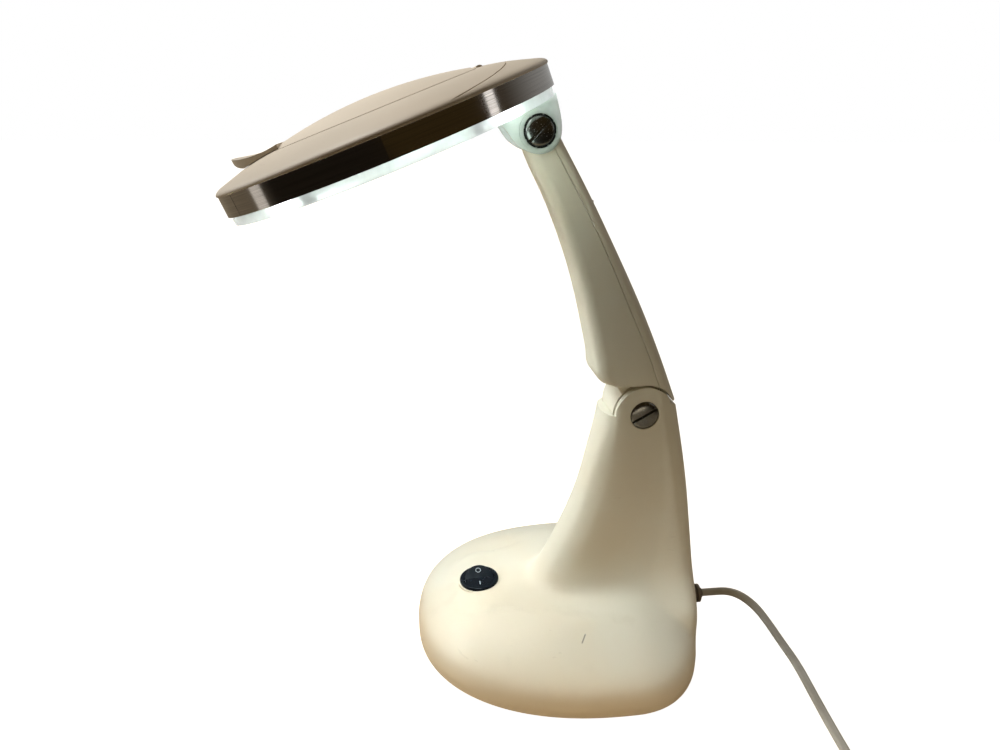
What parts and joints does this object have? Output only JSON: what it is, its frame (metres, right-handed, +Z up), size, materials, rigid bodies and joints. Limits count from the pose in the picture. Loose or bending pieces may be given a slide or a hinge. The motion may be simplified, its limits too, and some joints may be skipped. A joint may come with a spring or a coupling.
{
  "type": "magnifying lamp",
  "caption": "Free-standing desk magnifying lamp: weighted base with pillar and rocker switch, folding arm, tilting ring-lit lens head with flip-up lid.",
  "frame": {"origin": "on the desk, in the lamp's centre plane, below the widest section of the base", "axes": "+Z up, +X across the lamp along every pivot, -Y towards the user, the switch and the head"},
  "size_m": [0.3557, 0.3058, 0.3184],
  "materials": {
    "cream_abs": "satin moulded ABS, slightly yellowed",
    "head_abs": "satin moulded ABS, tan-beige",
    "brushed_band": "brushed, circumferential grain",
    "dark_chrome": "dark nickel-chrome, polished",
    "screw_steel": "zinc plated",
    "clear_acrylic": "clear polished acrylic, lit from inside",
    "lens_glass": "polished lens",
    "black_switch": "satin black nylon",
    "black_spring": "blackened spring steel",
    "pad_rubber": "dark cellular rubber",
    "plate_abs": "textured ABS",
    "ballast_iron": "raw casting",
    "board": "white solder mask",
    "driver_board": "green board with parts",
    "led_chip": "lit white LEDs",
    "nylon_natural": "natural nylon",
    "cord_pvc": "flexible PVC, satin",
    "plug_pvc": "moulded PVC",
    "pin_brass": "nickel-plated brass"
  },
  "bodies": {
    "base": {"anti_slip_pad": "pad_rubber", "base_plate": "plate_abs", "base_screws": "screw_steel", "ballast_weight": "ballast_iron", "base_shell": "cream_abs", "led_driver": "driver_board", "switch_housing": "black_switch", "elbow_bolt": "dark_chrome", "elbow_nut": "dark_chrome", "elbow_washers": "nylon_natural", "cord_gland": "cord_pvc", "mains_cord": "cord_pvc", "cord_coil": "cord_pvc", "plug_lead": "cord_pvc", "plug_body": "plug_pvc", "plug_pins": "pin_brass"},
    "rocker": {"rocker": "black_switch"},
    "arm": {"arm_shell": "cream_abs", "arm_back_cover": "cream_abs", "arm_screws": "screw_steel", "elbow_knuckle": "cream_abs"},
    "head": {"lens_housing": "clear_acrylic", "trim_band": "brushed_band", "top_cover": "head_abs", "lens": "lens_glass", "lens_ring": "nylon_natural", "led_board": "board", "leds": "led_chip", "head_screws": "screw_steel", "tilt_bolt": "dark_chrome", "tilt_nut": "dark_chrome", "tilt_rings": "black_spring", "tilt_washers": "nylon_natural", "lid_hinge_pin": "screw_steel"},
    "lid": {"lid": "head_abs"}
  },
  "joints": [
    {"name": "arm_fold", "type": "hinge", "parent": "base", "child": "arm", "pos_m": [0, 0.0173, 0.1385], "axis": [1, 0, 0], "range_deg": [0, 40]},
    {"name": "head_tilt", "type": "hinge", "parent": "arm", "child": "head", "pos_m": [0, -0.04441, 0.28635], "axis": [1, 0, 0], "range_deg": [-45, 60]},
    {"name": "lid_flip", "type": "hinge", "parent": "head", "child": "lid", "pos_m": [0, -0.07306, 0.31248], "axis": [-1, 0, 0], "range_deg": [0, 100]},
    {"name": "rocker_press", "type": "hinge", "parent": "base", "child": "rocker", "pos_m": [0, -0.072, 0.0306], "axis": [0, -0.9986, -0.0523], "range_deg": [0, 20]}
  ]
}
